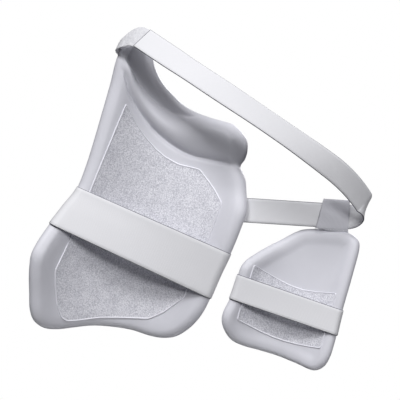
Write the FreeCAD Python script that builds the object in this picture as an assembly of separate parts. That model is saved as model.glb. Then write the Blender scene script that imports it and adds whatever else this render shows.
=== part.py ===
"""Batting leg guard set: a moulded outer thigh guard, an inner thigh guard and the waist belt that carries both.

Frame: millimetres, as worn. +Z is up, +X is the wearer's right, +Y is the wearer's front.
The origin is the middle of the waist loop. Each guard is a curved slab about an upright axis, hollow towards -Y,
where the thigh goes. Angles about such an axis are measured from +Y towards +X, in degrees.
"""

import FreeCAD, Part
import math
import os

os.makedirs("parts", exist_ok=True)
Vector = FreeCAD.Vector
UP = Vector(0, 0, 1)

# --- driving dimensions -------------------------------------------------------------------------------------

TALL = 400.0  # half height of cutting tools, past everything
GAP = 0.3  # air between pieces that peel apart
TAPE = 1.0  # thickness of a hook tape or a loop tape
WEB = 2.2  # thickness of the elastic webbing

# Outer guard: axis, radii of the body side and of the outside, and the edge's outermost x at each height.
OUTER_AXIS = (-93.0, -68.0)
OUTER_INSIDE = 158.0
OUTER_OUTSIDE = 178.0
OUTER_LEFT = [(112, -213), (60, -215), (0, -217), (-74, -215), (-140, -215), (-207, -235), (-262, -245), (-362, -246)]
OUTER_RIGHT = [(112, 2), (-20, 2), (-60, 12), (-105, 29), (-163, 25), (-236, 20), (-362, 16)]
OUTER_LEVELS = [112, 60, 0, -30, -60, -105, -150, -180, -207, -235, -262, -362]
OUTER_TOP_EDGE = [(-222, 60), (-214, 86), (-200, 96), (-186, 89), (-175, 69), (-151, 40), (-129, 27), (-100, 16)]
OUTER_TOP_EDGE += [(-66, 13), (-31, 14), (-9, 3), (2, -18), (0, -41), (16, -62), (34, -90)]
OUTER_BOTTOM_EDGE = [(34, -150), (26, -236), (10, -279), (-14, -308), (-45, -317), (-95, -320), (-150, -339)]
OUTER_BOTTOM_EDGE += [(-193, -352), (-219, -336), (-236, -296), (-252, -250), (-252, -200)]

# What the outer guard is built from, as depths from its body side.
OUTER_LINING_DEPTH = 1.2
OUTER_FOAM_DEPTH = 9.0
OUTER_PLATE_DEPTH = 11.5
HIP_ROLL_HEIGHT = 14.0
PANEL_OUTLINE = [(-184, -12), (-160, -35), (-127, -56), (-90, -66), (-54, -64), (-24, -84), (-8, -102), (-9, -158)]
PANEL_OUTLINE += [(-14, -240), (-22, -264), (-54, -297), (-93, -308), (-150, -330), (-172, -337), (-186, -322)]
PANEL_OUTLINE += [(-200, -291), (-206, -270), (-199, -224), (-192, -147)]
PLATE_OUTLINE = [(-186, 30), (-150, 5), (-110, -12), (-60, -14), (-24, -24), (-12, -70), (2, -110), (-2, -230)]
PLATE_OUTLINE += [(-24, -285), (-90, -300), (-160, -325), (-200, -320), (-214, -260), (-186, -150)]
HIP_ROLL_OUTLINE = [(-188, 30), (-163, 11), (-141, 1), (-115, -3), (-89, 1), (-66, 9), (-38, 9), (-14, 0), (-6, -18)]
HIP_ROLL_OUTLINE += [(-8, -38), (-50, -45), (-90, -45), (-125, -35), (-160, -16), (-184, 10)]
WELT_WIDTH = 1.8
WELT_HEIGHT = 0.8

# Inner guard, built the same way.
INNER_AXIS = (127.0, -46.0)
INNER_INSIDE = 112.0
INNER_OUTSIDE = 126.0
INNER_LEFT = [(-60, 46), (-177, 46), (-225, 48), (-300, 46)]
INNER_RIGHT = [(-60, 199), (-96, 201), (-169, 206), (-227, 211), (-300, 213)]
INNER_LEVELS = [-60, -96, -130, -169, -200, -227, -260, -300]
INNER_EDGE = [(40, -190), (42, -172), (52, -161), (74, -138), (105, -110), (132, -96), (160, -88), (184, -84)]
INNER_EDGE += [(199, -89), (207, -112), (214, -200), (218, -262), (206, -283), (188, -287), (141, -282), (92, -285)]
INNER_EDGE += [(62, -277), (44, -255)]
INNER_LINING_DEPTH = 1.2
INNER_FOAM_DEPTH = 6.0
INNER_PLATE_DEPTH = 8.0
INNER_PLATE_OUTLINE = [(66, -180), (110, -124), (176, -102), (188, -150), (194, -262), (130, -268), (66, -262)]
INNER_PANEL_OUTLINE = [(65, -169), (95, -177), (128, -180.5), (160, -177), (190, -169), (192, -228), (191, -252)]
INNER_PANEL_OUTLINE += [(160, -259), (128, -262), (95, -259), (65, -252), (65, -230)]

# Thigh straps: width, height at the strap's middle, and slope. Angles say where the pieces start and end.
OUTER_STRAP_WIDTH = 66.0
OUTER_STRAP_Z = -190.0
OUTER_STRAP_SLOPE = -3.5
OUTER_STRAP_LEVELS = [-130, -150, -170, -190, -210, -230, -255]
OUTER_STRAP_ANGLES = (-20.0, -40.0, 20.0)  # free tip, line it peels from, sewn end
INNER_STRAP_WIDTH = 37.0
INNER_STRAP_Z = -207.5
INNER_STRAP_LEVELS = [-170, -190, -210, -230, -245]
INNER_STRAP_ANGLES = (8.0, 34.0, -16.0)
STRAP_STAND_OFF = TAPE + GAP + TAPE + WEB / 2  # from a guard's outside to the middle of its strap

# Waist belt: one webbing, drawn from its sewn end on the outer guard, round the waist, to its free end.
BELT_WIDTH = 34.0
BELT_STAND_OFF = 1.5
BELT_START_ANGLE = 14.0
BELT_LEAVES_ANGLE = 36.0
BELT_START_Z = -122.0
BELT_SLOPE = 15.3
BELT_LEAVING_RADIUS = 60.0
BELT_STRAIGHT_END_X = 174.0
BELT_BEND_RADIUS = 16.0
BELT_BEND_TURN = 139.0
BELT_BEND_SLOPE = 44.0
BELT_NEAR_SLOPE = 14.8
BELT_END_LENGTH = 54.0  # the stretch that peels off
TAB_THICKNESS = 2.0
TAB_FREE_LENGTH = 32.0  # from the belt's free end to the bend round the guard's tip
TAB_BEND_RADIUS = 17.0
TAB_SHELL_ANGLE = -42.0
TAB_SEWN_ANGLE = -31.0
SLEEVE_X = (131.0, 171.0)
SLEEVE_HEIGHT = 40.0
SLEEVE_WALL = 1.5
TONGUE_THICKNESS = 3.0
SWING_Y = 64.3  # over the inner guard's balance point
TONGUE_BELOW_SLEEVE = 2.5  # the guard swings about this line


# --- small geometry helpers ---------------------------------------------------------------------------------


def on_circle(axis, radius, angle, z=0.0):
    """The point at an angle, in degrees from +Y towards +X, about an upright axis."""
    a = math.radians(angle)
    return Vector(axis[0] + radius * math.sin(a), axis[1] + radius * math.cos(a), z)


def arc(a, middle, b):
    return Part.Arc(a, middle, b).toShape()


def tube(axis, inner, outer):
    """Everything between two radii about an upright axis."""
    base = Vector(axis[0], axis[1], -TALL)
    big = Part.makeCylinder(outer, 2 * TALL, base, UP)
    if inner <= 0:
        return big
    return big.cut(Part.makeCylinder(inner, 2 * TALL, base, UP))


def along_y(wire):
    """The prism with that outline, drawn in X and Z, through everything along Y on the guards' side of their axes."""
    return Part.Face(wire).extrude(Vector(0, TALL, 0))


def smooth_outline(points, start_y=0.0):
    curve = Part.BSplineCurve()
    curve.interpolate(Points=[Vector(x, start_y, z) for x, z in points], PeriodicFlag=True)
    return Part.Wire(curve.toShape())


def straight_outline(points, start_y=0.0):
    return Part.makePolygon([Vector(x, start_y, z) for x, z in points + points[:1]])


def at_height(stations, z):
    """Smooth value between (height, value) stations that run downwards."""
    for (z0, v0), (z1, v1) in zip(stations, stations[1:]):
        if z >= z1:
            break
    t = min(1.0, max(0.0, (z0 - z) / (z0 - z1)))
    return v0 + (v1 - v0) * t * t * (3 - 2 * t)


def turned(point, centre, degrees):
    """A plan point turned about a plan centre, anticlockwise seen from above."""
    a = math.radians(degrees)
    dx, dy = point[0] - centre[0], point[1] - centre[1]
    return (
        centre[0] + dx * math.cos(a) - dy * math.sin(a),
        centre[1] + dx * math.sin(a) + dy * math.cos(a),
    )


def save(shape, name):
    """Writes one node, as one closed solid or as several."""
    solids = [s for s in shape.Solids if s.Volume > 0.5]
    shape = solids[0] if len(solids) == 1 else Part.makeCompound(solids)
    shape.exportStep("parts/%s.step" % name)
    print(name, len(solids), "solid(s)", round(shape.Volume / 1000, 2), "cm3")
    return shape


# --- guards -------------------------------------------------------------------------------------------------


class Guard:
    """A curved slab about an upright axis, with round ends to left and right."""

    def __init__(self, axis, inside, outside, left, right):
        self.axis, self.inside, self.outside = axis, inside, outside
        self.middle = (inside + outside) / 2
        self.cap = (outside - inside) / 2
        self.left, self.right = left, right

    def ends(self, z):
        """The angles of the two cap centres at a height."""
        low = (at_height(self.left, z) + self.cap - self.axis[0]) / self.middle
        high = (at_height(self.right, z) - self.cap - self.axis[0]) / self.middle
        return math.degrees(math.asin(low)), math.degrees(math.asin(high))

    def section(self, z):
        """The closed outline of the slab at a height."""
        low, high = self.ends(z)
        middle = (low + high) / 2

        def corner(radius, angle):
            return on_circle(self.axis, radius, angle, z)

        def past_end(angle, way):
            end = corner(self.middle, angle)
            a = math.radians(angle)
            return end + Vector(math.cos(a), -math.sin(a), 0) * (way * self.cap)

        return Part.Wire([
            arc(corner(self.inside, low), corner(self.inside, middle), corner(self.inside, high)),
            arc(corner(self.inside, high), past_end(high, 1), corner(self.outside, high)),
            arc(corner(self.outside, high), corner(self.outside, middle), corner(self.outside, low)),
            arc(corner(self.outside, low), past_end(low, -1), corner(self.inside, low)),
        ])

    def slab(self, heights):
        return Part.makeLoft([self.section(z) for z in heights], True, False)

    def layer(self, depth_0, depth_1):
        """The space between two depths, measured from the body side outwards."""
        return tube(self.axis, self.inside + depth_0, self.inside + depth_1)

    def strap_outline(self, z, inner, outer, start, end):
        """Closed outline, at a height, of webbing between two distances from the slab. It starts on the outside at
        one angle, goes round the left edge, straight across the hollow and round the right edge, and ends on the
        outside at the other angle. Starts and ends past an edge keep only what lies between them."""
        low, high = self.ends(z)

        def side(offset):
            reach = self.cap + offset

            def around(angle, way):
                """Outside, middle and hollow-side points of the webbing's turn about a cap centre."""
                centre = on_circle(self.axis, self.middle, angle, z)
                outward = (on_circle(self.axis, self.middle + 1, angle, z) - centre).normalize()
                sideways = Vector(way * outward.y, -way * outward.x, 0)
                forward = Vector(0, -1, 0)
                middle = (sideways * 1.0 + forward * 0.15).normalize()
                return centre + outward * reach, centre + middle * reach, centre + forward * reach

            shell = self.outside + offset
            l_out, l_mid, l_in = around(low, -1)
            r_out, r_mid, r_in = around(high, 1)
            first, last = on_circle(self.axis, shell, start, z), on_circle(self.axis, shell, end, z)
            return [
                arc(first, on_circle(self.axis, shell, (start + low) / 2, z), l_out),
                arc(l_out, l_mid, l_in),
                Part.makeLine(l_in, r_in),
                arc(r_in, r_mid, r_out),
                arc(r_out, on_circle(self.axis, shell, (end + high) / 2, z), last),
            ], first, last

        near, near_first, near_last = side(inner)
        far, far_first, far_last = side(outer)
        return Part.Wire(near + [Part.makeLine(near_last, far_last)] + far[::-1] + [Part.makeLine(far_first, near_first)])


def sloped_slab(x_middle, z_middle, width, slope):
    """The space between two planes that slope along X, a width apart."""
    half = width / 2 / math.cos(math.radians(slope))
    rise = math.tan(math.radians(slope))
    corners = [(x, z_middle + rise * (x - x_middle) + side * half) for x, side in
               ((-TALL, -1), (TALL, -1), (TALL, 1), (-TALL, 1))]
    wire = straight_outline(corners, -TALL)
    return Part.Face(wire).extrude(Vector(0, 2 * TALL, 0))


def patch_on(guard, depth_0, depth_1, angle_0, angle_1, slab):
    """A piece of tape that lies round a guard's outside, cut to a sloped slab."""
    tape = tube(guard.axis, guard.outside + depth_0, guard.outside + depth_1)
    reach = 2 * guard.outside
    wedge = Part.makePolygon([
        Vector(guard.axis[0], guard.axis[1], -TALL),
        on_circle(guard.axis, reach, angle_0, -TALL),
        on_circle(guard.axis, reach, (angle_0 + angle_1) / 2, -TALL),
        on_circle(guard.axis, reach, angle_1, -TALL),
        Vector(guard.axis[0], guard.axis[1], -TALL),
    ])
    return tape.common(Part.Face(wedge).extrude(UP * (2 * TALL))).common(slab)


# --- webbing drawn along a route ----------------------------------------------------------------------------


class Route:
    """A plan route of arcs and straight runs, with a slope along each, sampled as places and directions."""

    STEP = 6.0

    def __init__(self, point, heading, z):
        self.point, self.heading, self.z = point, heading, z
        self.stations = [(point, heading, z, 0.0)]

    def _advance(self, place_at, heading_at, length, slopes):
        count = max(4, int(math.ceil(length / self.STEP)))
        for i in range(1, count + 1):
            slope = slopes[0] + (slopes[1] - slopes[0]) * (i - 0.5) / count
            self.z += math.tan(math.radians(slope)) * length / count
            end_slope = slopes[0] + (slopes[1] - slopes[0]) * i / count
            self.stations.append((place_at(i / count), heading_at(i / count), self.z, end_slope))
        self.point, self.heading = place_at(1.0), heading_at(1.0)
        return self

    def run(self, length, slopes):
        x, y = self.point
        a, heading = math.radians(self.heading), self.heading
        return self._advance(
            lambda t: (x + math.cos(a) * length * t, y + math.sin(a) * length * t),
            lambda t: heading,
            length,
            slopes,
        )

    def turn(self, radius, degrees, slopes):
        """Follows an arc. Positive degrees turn left, seen from above."""
        side = math.copysign(1.0, degrees)
        a = math.radians(self.heading)
        start, heading = self.point, self.heading
        centre = (start[0] - math.sin(a) * radius * side, start[1] + math.cos(a) * radius * side)
        return self._advance(
            lambda t: turned(start, centre, degrees * t),
            lambda t: heading + degrees * t,
            radius * math.radians(abs(degrees)),
            slopes,
        )


def webbing(stations, width, thickness, offset=0.0):
    """A flat band along route stations. Its ends are square to the route."""
    sections = []
    for (x, y), heading, z, slope in stations:
        h, s = math.radians(heading), math.radians(slope)
        out = Vector(-math.sin(h), math.cos(h), 0)
        along = Vector(math.cos(h) * math.cos(s), math.sin(h) * math.cos(s), math.sin(s))
        across = out.cross(along)
        middle = Vector(x, y, z) + out * offset
        corners = [middle + out * (i * thickness / 2) + across * (j * width / 2)
                   for i, j in ((-1, -1), (1, -1), (1, 1), (-1, 1))]
        sections.append(Part.makePolygon(corners + corners[:1]))
    return Part.makeLoft(sections, True, False)


# --- guards' layers -----------------------------------------------------------------------------------------


def welt_around(outline, guard):
    """A thin raised edge round a lining, set into the body side."""
    wire = straight_outline(outline)
    grown = Part.Face(wire).makeOffset2D(WELT_WIDTH, join=0)
    ring = Part.Face(grown.OuterWire).extrude(Vector(0, TALL, 0)).cut(along_y(wire))
    return ring.common(guard.layer(-WELT_HEIGHT, OUTER_LINING_DEPTH))


def build_guard(prefix, guard, body, panel, plate_outline, foam_depth, plate_depth):
    """Cuts a guard's slab into lining, welt, foam, impact plate and moulded shell, and saves them."""
    panel_prism = along_y(straight_outline(panel))
    lining = body.common(panel_prism).common(guard.layer(-1, OUTER_LINING_DEPTH))
    welt = welt_around(panel, guard)
    plate = body.common(guard.layer(foam_depth, plate_depth)).common(along_y(smooth_outline(plate_outline)))
    soft_side = tube(guard.axis, 0, guard.inside + foam_depth)
    foam = body.common(soft_side).cut(lining).cut(welt)
    shell = body.cut(soft_side).cut(plate)
    save(foam, prefix + "_body_side_foam")
    save(lining, prefix + "_lining_panel")
    save(welt, prefix + "_lining_welt")
    save(plate, prefix + "_impact_plate")
    save(shell, prefix + "_moulded_shell")


def build_strap(prefix, guard, levels, slab, angles, peels_left):
    """A thigh strap: fixed webbing, the end that peels, its hook tape, the loop tape below and the sewn patch."""
    tip, peel, sewn = angles
    way = 1.0 if peels_left else -1.0
    start, end = (peel, sewn) if peels_left else (sewn, peel)
    near, far = STRAP_STAND_OFF - WEB / 2, STRAP_STAND_OFF + WEB / 2
    webbing_wires = [guard.strap_outline(z, near, far, start, end) for z in levels]
    save(Part.makeLoft(webbing_wires, True, False).common(slab), prefix + "_thigh_strap")
    save(patch_on(guard, near, far, peel + 0.1 * way, tip, slab), prefix + "_strap_peeling_end")
    narrow = slab.common(patch_on(guard, near - TAPE, near, peel + 3 * way, tip - 0.6 * way, slab))
    save(narrow, prefix + "_strap_hook_tape")
    save(patch_on(guard, GAP, TAPE, peel + 1.5 * way, tip + 8 * way, slab), prefix + "_strap_loop_tape")
    cover = patch_on(guard, far + GAP, far + 1.4, sewn - 2 * way, sewn + 7 * way, slab)
    foot = patch_on(guard, GAP, far + 1.4, sewn - 7 * way, sewn - 1 * way, slab)
    save(foot.fuse(cover).removeSplitter(), prefix + "_strap_sewn_patch")


outer = Guard(OUTER_AXIS, OUTER_INSIDE, OUTER_OUTSIDE, OUTER_LEFT, OUTER_RIGHT)
outer_edge = smooth_outline(OUTER_TOP_EDGE + OUTER_BOTTOM_EDGE)
outer_body = outer.slab(OUTER_LEVELS).common(along_y(outer_edge))
build_guard(
    "outer_guard", outer, outer_body, PANEL_OUTLINE, PLATE_OUTLINE, OUTER_FOAM_DEPTH, OUTER_PLATE_DEPTH
)
hip_roll = along_y(smooth_outline(HIP_ROLL_OUTLINE)).common(outer.layer(-HIP_ROLL_HEIGHT, -GAP))
save(hip_roll, "outer_guard_hip_roll")
outer_strap_slab = sloped_slab(OUTER_AXIS[0], OUTER_STRAP_Z, OUTER_STRAP_WIDTH, OUTER_STRAP_SLOPE)
build_strap("outer", outer, OUTER_STRAP_LEVELS, outer_strap_slab, OUTER_STRAP_ANGLES, True)

inner = Guard(INNER_AXIS, INNER_INSIDE, INNER_OUTSIDE, INNER_LEFT, INNER_RIGHT)
inner_body = inner.slab(INNER_LEVELS).common(along_y(smooth_outline(INNER_EDGE)))
build_guard(
    "inner_guard", inner, inner_body, INNER_PANEL_OUTLINE, INNER_PLATE_OUTLINE, INNER_FOAM_DEPTH, INNER_PLATE_DEPTH
)
inner_strap_slab = sloped_slab(INNER_AXIS[0], INNER_STRAP_Z, INNER_STRAP_WIDTH, 0.0)
build_strap("inner", inner, INNER_STRAP_LEVELS, inner_strap_slab, INNER_STRAP_ANGLES, False)


# --- waist belt ---------------------------------------------------------------------------------------------


def belt_route():
    """The belt's line and where its pieces begin and end, as station numbers."""
    start = on_circle(outer.axis, outer.outside + BELT_STAND_OFF, BELT_START_ANGLE)
    route = Route((start.x, start.y), -BELT_START_ANGLE, BELT_START_Z)
    on_shell = BELT_LEAVES_ANGLE - BELT_START_ANGLE
    route.turn(outer.outside + BELT_STAND_OFF, -on_shell, (BELT_SLOPE, BELT_SLOPE))
    route.turn(BELT_LEAVING_RADIUS, BELT_LEAVES_ANGLE, (BELT_SLOPE, BELT_SLOPE))
    straight = BELT_STRAIGHT_END_X - route.point[0]
    route.run(straight, (BELT_SLOPE, BELT_SLOPE))
    print("belt behind the sleeve: y", round(route.point[1], 2), "z", round(route.z, 2))
    route.turn(BELT_BEND_RADIUS, -BELT_BEND_TURN / 2, (BELT_SLOPE, BELT_BEND_SLOPE))
    route.turn(BELT_BEND_RADIUS, -BELT_BEND_TURN / 2, (BELT_BEND_SLOPE, 28.0))

    tab_to_belt = WEB / 2 + 0.8 + GAP + TAB_THICKNESS / 2
    wrap = outer.outside + 0.5 + TAB_THICKNESS / 2 + tab_to_belt
    bend = TAB_BEND_RADIUS + tab_to_belt
    leave = on_circle(outer.axis, wrap, TAB_SHELL_ANGLE)
    a = math.radians(-TAB_SHELL_ANGLE)
    centre = (
        leave.x - 5 * math.cos(a) + bend * math.sin(a),
        leave.y - 5 * math.sin(a) - bend * math.cos(a),
    )
    target = (centre[0] - bend * math.sin(math.radians(140)), centre[1] + bend * math.cos(math.radians(140)))
    dx, dy = target[0] - route.point[0], target[1] - route.point[1]
    chord = math.hypot(dx, dy)
    turn = 2 * ((math.degrees(math.atan2(dy, dx)) % 360 - 360) - route.heading)
    radius = chord / 2 / math.sin(math.radians(abs(turn) / 2))
    first = 80.0 / radius
    route.turn(radius, -math.degrees(first), (28.0, BELT_NEAR_SLOPE))
    whole = radius * math.radians(abs(turn))
    lengths = (whole - 80 - BELT_END_LENGTH - TAB_FREE_LENGTH, BELT_END_LENGTH)
    route.turn(radius, -math.degrees(lengths[0] / radius), (BELT_NEAR_SLOPE, BELT_NEAR_SLOPE))
    peel = len(route.stations) - 1
    route.turn(radius, -math.degrees(lengths[1] / radius), (BELT_NEAR_SLOPE, BELT_NEAR_SLOPE))
    free_end = len(route.stations) - 1
    route.turn(radius, -math.degrees(TAB_FREE_LENGTH / radius), (BELT_NEAR_SLOPE, -16.0))
    route.turn(bend, -((route.heading % 360) + TAB_SHELL_ANGLE), (-16.0, -16.0))
    route.run(5.0, (-16.0, -8.0))
    route.turn(wrap, TAB_SHELL_ANGLE - TAB_SEWN_ANGLE, (-8.0, -4.0))
    return route.stations, peel, free_end, tab_to_belt


stations, peel, free_end, tab_to_belt = belt_route()
for name, index in (("peel line", peel), ("free end", free_end), ("tab's end", -1)):
    (x, y), heading, z, slope = stations[index]
    print(name, "x", round(x, 1), "y", round(y, 1), "z", round(z, 1), "heading", round(heading, 1), "slope", slope)
save(webbing(stations[: peel + 1], BELT_WIDTH, WEB), "waist_belt")
(x, y), heading, z, slope = stations[peel]
a = math.radians(heading)
rise = 0.3 * math.tan(math.radians(slope))
cut_start = ((x + 0.3 * math.cos(a), y + 0.3 * math.sin(a)), heading, z + rise, slope)
end_stations = [cut_start] + stations[peel + 1 : free_end + 1]
save(webbing(end_stations, BELT_WIDTH, WEB), "belt_peeling_end")
save(webbing(end_stations[1:], BELT_WIDTH - 4, 0.8, -(WEB + 0.8) / 2), "belt_hook_tape")
save(webbing(stations[peel + 1 :], BELT_WIDTH, TAB_THICKNESS, -tab_to_belt), "belt_loop_tab")


def belt_sewn_patch():
    """Stiff patch that holds the belt's sewn end to the outer guard's shell."""
    z_0 = BELT_START_Z
    slab = sloped_slab(stations[0][0][0], z_0, BELT_WIDTH + 8, BELT_SLOPE)
    over = BELT_STAND_OFF + WEB / 2 + 0.1
    cover = patch_on(outer, over, over + 1.3, BELT_START_ANGLE - 3, BELT_START_ANGLE + 7, slab)
    foot = patch_on(outer, GAP, over + 1.3, BELT_START_ANGLE - 6, BELT_START_ANGLE - 0.5, slab)
    return foot.fuse(cover).removeSplitter()


def tab_sewn_patch():
    """Stiff patch that holds the loop tab's sewn end to the outer guard's tip."""
    (x, y), heading, z, slope = stations[-1]
    slab = sloped_slab(x, z, BELT_WIDTH + 6, 0.0)
    over = 0.5 + TAB_THICKNESS + 0.3
    cover = patch_on(outer, over, over + 1.3, TAB_SEWN_ANGLE - 6, TAB_SEWN_ANGLE + 1, slab)
    foot = patch_on(outer, GAP, over + 1.3, TAB_SEWN_ANGLE + 0.5, TAB_SEWN_ANGLE + 3, slab)
    edge = along_y(outer_edge)
    return foot.fuse(cover).removeSplitter().common(edge)


save(belt_sewn_patch(), "belt_sewn_patch")
save(tab_sewn_patch(), "belt_tab_sewn_patch")


def behind_sleeve():
    """The belt's y and its height where its straight run ends."""
    for (x, y), heading, z, slope in stations:
        if abs(x - BELT_STRAIGHT_END_X) < 0.01:
            return y, z


def along_belt(x, down=0.0):
    """A point on the belt's straight run, or below it by a distance measured across the belt."""
    y, z_end = behind_sleeve()
    a = math.radians(BELT_SLOPE)
    z = z_end - (BELT_STRAIGHT_END_X - x) * math.tan(a)
    return Vector(x + down * math.sin(a), y, z - down * math.cos(a))


def belt_sleeve():
    """Flat sleeve that hangs the inner guard from the belt and slides along it."""
    a = math.radians(BELT_SLOPE)
    along = Vector(math.cos(a), 0, math.sin(a))
    length = (SLEEVE_X[1] - SLEEVE_X[0]) / math.cos(a)
    inside_depth = WEB / 2 + 0.5

    def bar(half_height, half_depth):
        corners = [along_belt(SLEEVE_X[0], i * half_height) + Vector(0, j * half_depth, 0) for i, j in
                   ((-1, -1), (1, -1), (1, 1), (-1, 1))]
        return Part.Face(Part.makePolygon(corners + corners[:1])).extrude(along * length)

    return bar(SLEEVE_HEIGHT / 2, inside_depth + SLEEVE_WALL).cut(bar(BELT_WIDTH / 2 + 0.6, inside_depth))


def hanger_tongue():
    """Sewn tongue on the inner guard's top edge. Its upper edge is the line that the guard swings about."""
    top = SLEEVE_HEIGHT / 2 + TONGUE_BELOW_SLEEVE
    y = swing_line().y - TONGUE_THICKNESS / 2
    left, right = along_belt(SLEEVE_X[0] + 2, top), along_belt(SLEEVE_X[1] - 2, top)
    corners = [(left.x, left.z), (right.x, right.z), (right.x, right.z - 20), (left.x, left.z - 20)]
    flat = Part.Face(straight_outline(corners, y)).extrude(Vector(0, TONGUE_THICKNESS, 0))
    return flat.cut(along_y(smooth_outline(INNER_EDGE)))


def swing_line():
    """A point on the line that the inner guard swings about, over the guard's balance point."""
    point = along_belt((SLEEVE_X[0] + SLEEVE_X[1]) / 2, SLEEVE_HEIGHT / 2 + TONGUE_BELOW_SLEEVE)
    return Vector(point.x, SWING_Y, point.z)


save(belt_sleeve(), "belt_sleeve")
save(hanger_tongue(), "inner_guard_hanger_tongue")
print("swing line through", [round(v, 2) for v in swing_line()], "belt behind sleeve", behind_sleeve())
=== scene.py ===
"""Looks of the batting thigh guard set: guards, linings, webbing, fuzzy loop tab, light and camera.

Shapes are worked out in millimetres in the model's own frame and become metres when a mesh is made.
"""

import bmesh
import bpy
import math
import numpy as np
from mathutils import Matrix, Vector


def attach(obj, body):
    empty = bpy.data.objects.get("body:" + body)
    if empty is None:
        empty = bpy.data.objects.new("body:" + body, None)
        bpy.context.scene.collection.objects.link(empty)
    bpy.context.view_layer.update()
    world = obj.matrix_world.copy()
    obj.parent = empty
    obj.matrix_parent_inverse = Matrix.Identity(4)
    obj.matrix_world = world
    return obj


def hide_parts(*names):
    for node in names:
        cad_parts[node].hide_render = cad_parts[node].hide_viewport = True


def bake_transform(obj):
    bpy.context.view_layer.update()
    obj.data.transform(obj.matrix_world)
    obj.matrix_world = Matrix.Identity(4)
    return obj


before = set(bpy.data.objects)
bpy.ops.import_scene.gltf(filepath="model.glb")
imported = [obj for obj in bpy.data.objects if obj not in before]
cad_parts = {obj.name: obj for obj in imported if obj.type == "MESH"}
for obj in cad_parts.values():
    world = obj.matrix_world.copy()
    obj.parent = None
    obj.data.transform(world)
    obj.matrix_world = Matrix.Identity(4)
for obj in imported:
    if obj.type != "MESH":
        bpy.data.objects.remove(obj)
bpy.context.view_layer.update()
MM = 0.001
BATCH = 2000
ROOT = "outer_guard_and_belt"


# --- curves and distances -----------------------------------------------------------------------------------


def through(points, closed=True, per=20):
    """A smooth curve through points, dense enough to use as a polyline."""
    p = np.array(points, float)
    n = len(p)
    out = []
    spans = range(n) if closed else range(n - 1)
    for i in spans:
        if closed:
            a, b, c, d = p[(i - 1) % n], p[i], p[(i + 1) % n], p[(i + 2) % n]
        else:
            b, c = p[i], p[i + 1]
            a = p[i - 1] if i > 0 else 2 * b - c
            d = p[i + 2] if i + 2 < n else 2 * c - b
        t0 = 0.0
        t1 = t0 + np.linalg.norm(b - a) ** 0.5
        t2 = t1 + np.linalg.norm(c - b) ** 0.5
        t3 = t2 + np.linalg.norm(d - c) ** 0.5
        for t in np.linspace(t1, t2, per, endpoint=False):
            a1 = (t1 - t) / (t1 - t0) * a + (t - t0) / (t1 - t0) * b
            a2 = (t2 - t) / (t2 - t1) * b + (t - t1) / (t2 - t1) * c
            a3 = (t3 - t) / (t3 - t2) * c + (t - t2) / (t3 - t2) * d
            b1 = (t2 - t) / (t2 - t0) * a1 + (t - t0) / (t2 - t0) * a2
            b2 = (t3 - t) / (t3 - t1) * a2 + (t - t1) / (t3 - t1) * a3
            out.append((t2 - t) / (t2 - t1) * b1 + (t - t1) / (t2 - t1) * b2)
    if not closed:
        out.append(p[-1])
    return np.array(out)


def evenly(line, count):
    """A closed line again, as that many evenly spaced points."""
    ring = np.vstack([line, line[:1]])
    steps = np.r_[0, np.cumsum(np.linalg.norm(np.diff(ring, axis=0), axis=1))]
    at = np.linspace(0, steps[-1], count, endpoint=False)
    return np.column_stack([np.interp(at, steps, ring[:, k]) for k in range(ring.shape[1])])


def rounded(corners, radius, per=6):
    """A closed polygon with each corner rounded."""
    p = np.array(corners, float)
    n = len(p)
    out = []
    for i in range(n):
        a, b, c = p[i - 1], p[i], p[(i + 1) % n]
        u, v = (a - b) / np.linalg.norm(a - b), (c - b) / np.linalg.norm(c - b)
        r = min(radius, 0.4 * np.linalg.norm(a - b), 0.4 * np.linalg.norm(c - b))
        for t in np.linspace(0, 1, per):
            out.append((1 - t) ** 2 * (b + u * r) + 2 * t * (1 - t) * b + t * t * (b + v * r))
    return np.array(out)


def distance_to(points, line):
    """Shortest distance from each point to a closed polyline, worked out in batches to save memory."""
    a = line
    b = np.roll(line, -1, axis=0)
    best = np.full(len(points), 1e9)
    run, rise = (b - a).T
    length = run**2 + rise**2 + 1e-12
    for start in range(0, len(points), BATCH):
        part = slice(start, start + BATCH)
        x = points[part, 0, None] - a[:, 0]
        y = points[part, 1, None] - a[:, 1]
        t = np.clip((x * run + y * rise) / length, 0, 1)
        best[part] = np.sqrt(((x - t * run) ** 2 + (y - t * rise) ** 2).min(1))
    return best


def ease(t):
    """0 to 1 with a soft start and end, and flat outside."""
    t = np.clip(t, 0.0, 1.0)
    return t * t * (3 - 2 * t)


def table(pairs):
    """A smooth function through (x, value) pairs."""
    line = through(sorted(pairs), closed=False, per=12)
    return lambda x: np.interp(x, line[:, 0], line[:, 1])


# --- meshes -------------------------------------------------------------------------------------------------


def make_object(name, verts, faces, material, uv=None):
    """A smooth-shaded mesh object from millimetre vertices. uv gives each vertex its place on the cloth."""
    mesh = bpy.data.meshes.new(name)
    points = [tuple(float(c) * MM for c in v) for v in verts]
    mesh.from_pydata(points, [], [tuple(int(i) for i in f) for f in faces])
    mesh.validate()
    mesh.polygons.foreach_set("use_smooth", [True] * len(mesh.polygons))
    if uv is not None:
        layer = mesh.uv_layers.new(name="cloth")
        loops = np.zeros(len(mesh.loops), int)
        mesh.loops.foreach_get("vertex_index", loops)
        layer.data.foreach_set("uv", (np.array(uv)[loops] * MM).astype(np.float32).ravel())
    mesh.materials.append(material)
    obj = bpy.data.objects.new(name, mesh)
    bpy.context.scene.collection.objects.link(obj)
    return obj


def unit(v):
    """Vectors made one unit long."""
    return v / (np.linalg.norm(v, axis=-1, keepdims=True) + 1e-12)


EDGE_SWELL = 0.8  # how far a band's long edges bulge, in half thicknesses
END_TAPER = 0.35  # the thickness left at a band's ends
END_REACH = 0.6  # how far its ends stand out, in half thicknesses
SHADED_END_ROWS = 4  # rows of points at the end that take the painted shade line


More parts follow.
